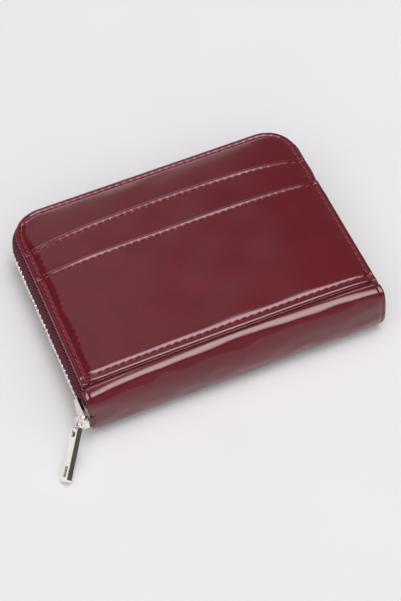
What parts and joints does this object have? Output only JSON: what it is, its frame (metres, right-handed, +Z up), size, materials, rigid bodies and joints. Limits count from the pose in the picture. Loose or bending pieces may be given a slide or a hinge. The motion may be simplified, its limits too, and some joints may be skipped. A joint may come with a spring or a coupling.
{
  "type": "zip-around wallet",
  "caption": "Compact closed zip-around wallet in glossy burgundy leather, with outside pockets, card slots, note compartments, a coin pocket and metal pullers.",
  "frame": {"origin": "middle of the back cover's underside, on which the closed wallet rests", "axes": "+X along the spine, +Y from the spine to the far zip side, +Z up, out of the front cover"},
  "size_m": [0.1473, 0.1209, 0.0253],
  "materials": {
    "cover_leather": "glossy patent burgundy",
    "board": "bonded fibre board",
    "lining": "matt woven lining",
    "inner_leather": "semi-gloss burgundy",
    "zip_tape": "dark wine twill",
    "zip_metal": "polished pale gold",
    "puller_metal": "polished pale gold",
    "thread": "waxed red thread"
  },
  "bodies": {
    "back": {"back_cover_leather": "cover_leather", "back_cover_board": "board", "back_lining": "lining", "back_card_slot_1": "inner_leather", "back_card_slot_2": "inner_leather", "back_card_slot_3": "inner_leather", "zip_tape_lower": "zip_tape", "zip_teeth_lower": "zip_metal", "gusset_left_lower": "inner_leather", "gusset_right_lower": "inner_leather"},
    "spine": {"spine_leather": "cover_leather", "spine_board": "board", "spine_lining": "lining", "coin_pocket_lower_panel": "inner_leather", "coin_pocket_upper_panel": "inner_leather", "coin_pocket_sides": "inner_leather", "coin_pocket_anchor": "inner_leather", "coin_zip_tapes": "zip_tape", "coin_zip_teeth": "zip_metal", "coin_zip_stops": "zip_metal", "zip_end_tab_left": "zip_tape", "zip_end_tab_right": "zip_tape", "zip_end_clip_left": "zip_metal", "zip_end_clip_right": "zip_metal"},
    "front": {"front_cover_leather": "cover_leather", "front_cover_board": "board", "front_lining": "lining", "front_card_slot_1": "inner_leather", "front_card_slot_2": "inner_leather", "front_card_slot_3": "inner_leather", "front_upper_pocket": "cover_leather", "front_lower_pocket": "cover_leather", "border_stitching": "thread", "upper_slot_stitching": "thread", "lower_slot_stitching": "thread", "hem_stitching": "thread", "zip_tape_upper": "zip_tape", "zip_teeth_upper": "zip_metal", "gusset_left_upper": "inner_leather", "gusset_right_upper": "inner_leather"},
    "slider": {"slider_body": "zip_metal", "slider_pin": "zip_metal"},
    "link": {"pull_link": "zip_metal"},
    "puller": {"pull_bar": "puller_metal"},
    "coin_slider": {"coin_slider_body": "zip_metal", "coin_slider_pin": "zip_metal"},
    "coin_puller": {"coin_pull": "puller_metal"}
  },
  "joints": [
    {"name": "spine_fold", "type": "hinge", "parent": "back", "child": "spine", "pos_m": [0, -0.0456, 0.0009], "axis": [1, 0, 0], "range_deg": [0, 35]},
    {"name": "front_fold", "type": "hinge", "parent": "spine", "child": "front", "pos_m": [0, -0.0423, 0.0234], "axis": [1, 0, 0], "range_deg": [0, 35]},
    {"name": "slider_run", "type": "slide", "parent": "back", "child": "slider", "axis": [0, 1, 0], "range_m": [0, 0.076]},
    {"name": "link_swing", "type": "hinge", "parent": "slider", "child": "link", "pos_m": [-0.06785, -0.0482, 0.0117], "axis": [0, 0, 1], "range_deg": [-92, 23]},
    {"name": "puller_lift", "type": "hinge", "parent": "link", "child": "puller", "pos_m": [-0.06945, -0.0504, 0.01044], "axis": [-0.4362, 0.6639, -0.6074], "range_deg": [0, 85]},
    {"name": "coin_slider_run", "type": "slide", "parent": "spine", "child": "coin_slider", "axis": [1, 0, 0], "range_m": [0, 0.084]},
    {"name": "coin_puller_swing", "type": "hinge", "parent": "coin_slider", "child": "coin_puller", "pos_m": [-0.042, 0.0287, 0.0117], "axis": [0, 0, 1], "range_deg": [0, 180]}
  ],
  "couplings": [
    {"joint": "front_fold", "follows": "spine_fold", "ratio": 1}
  ]
}
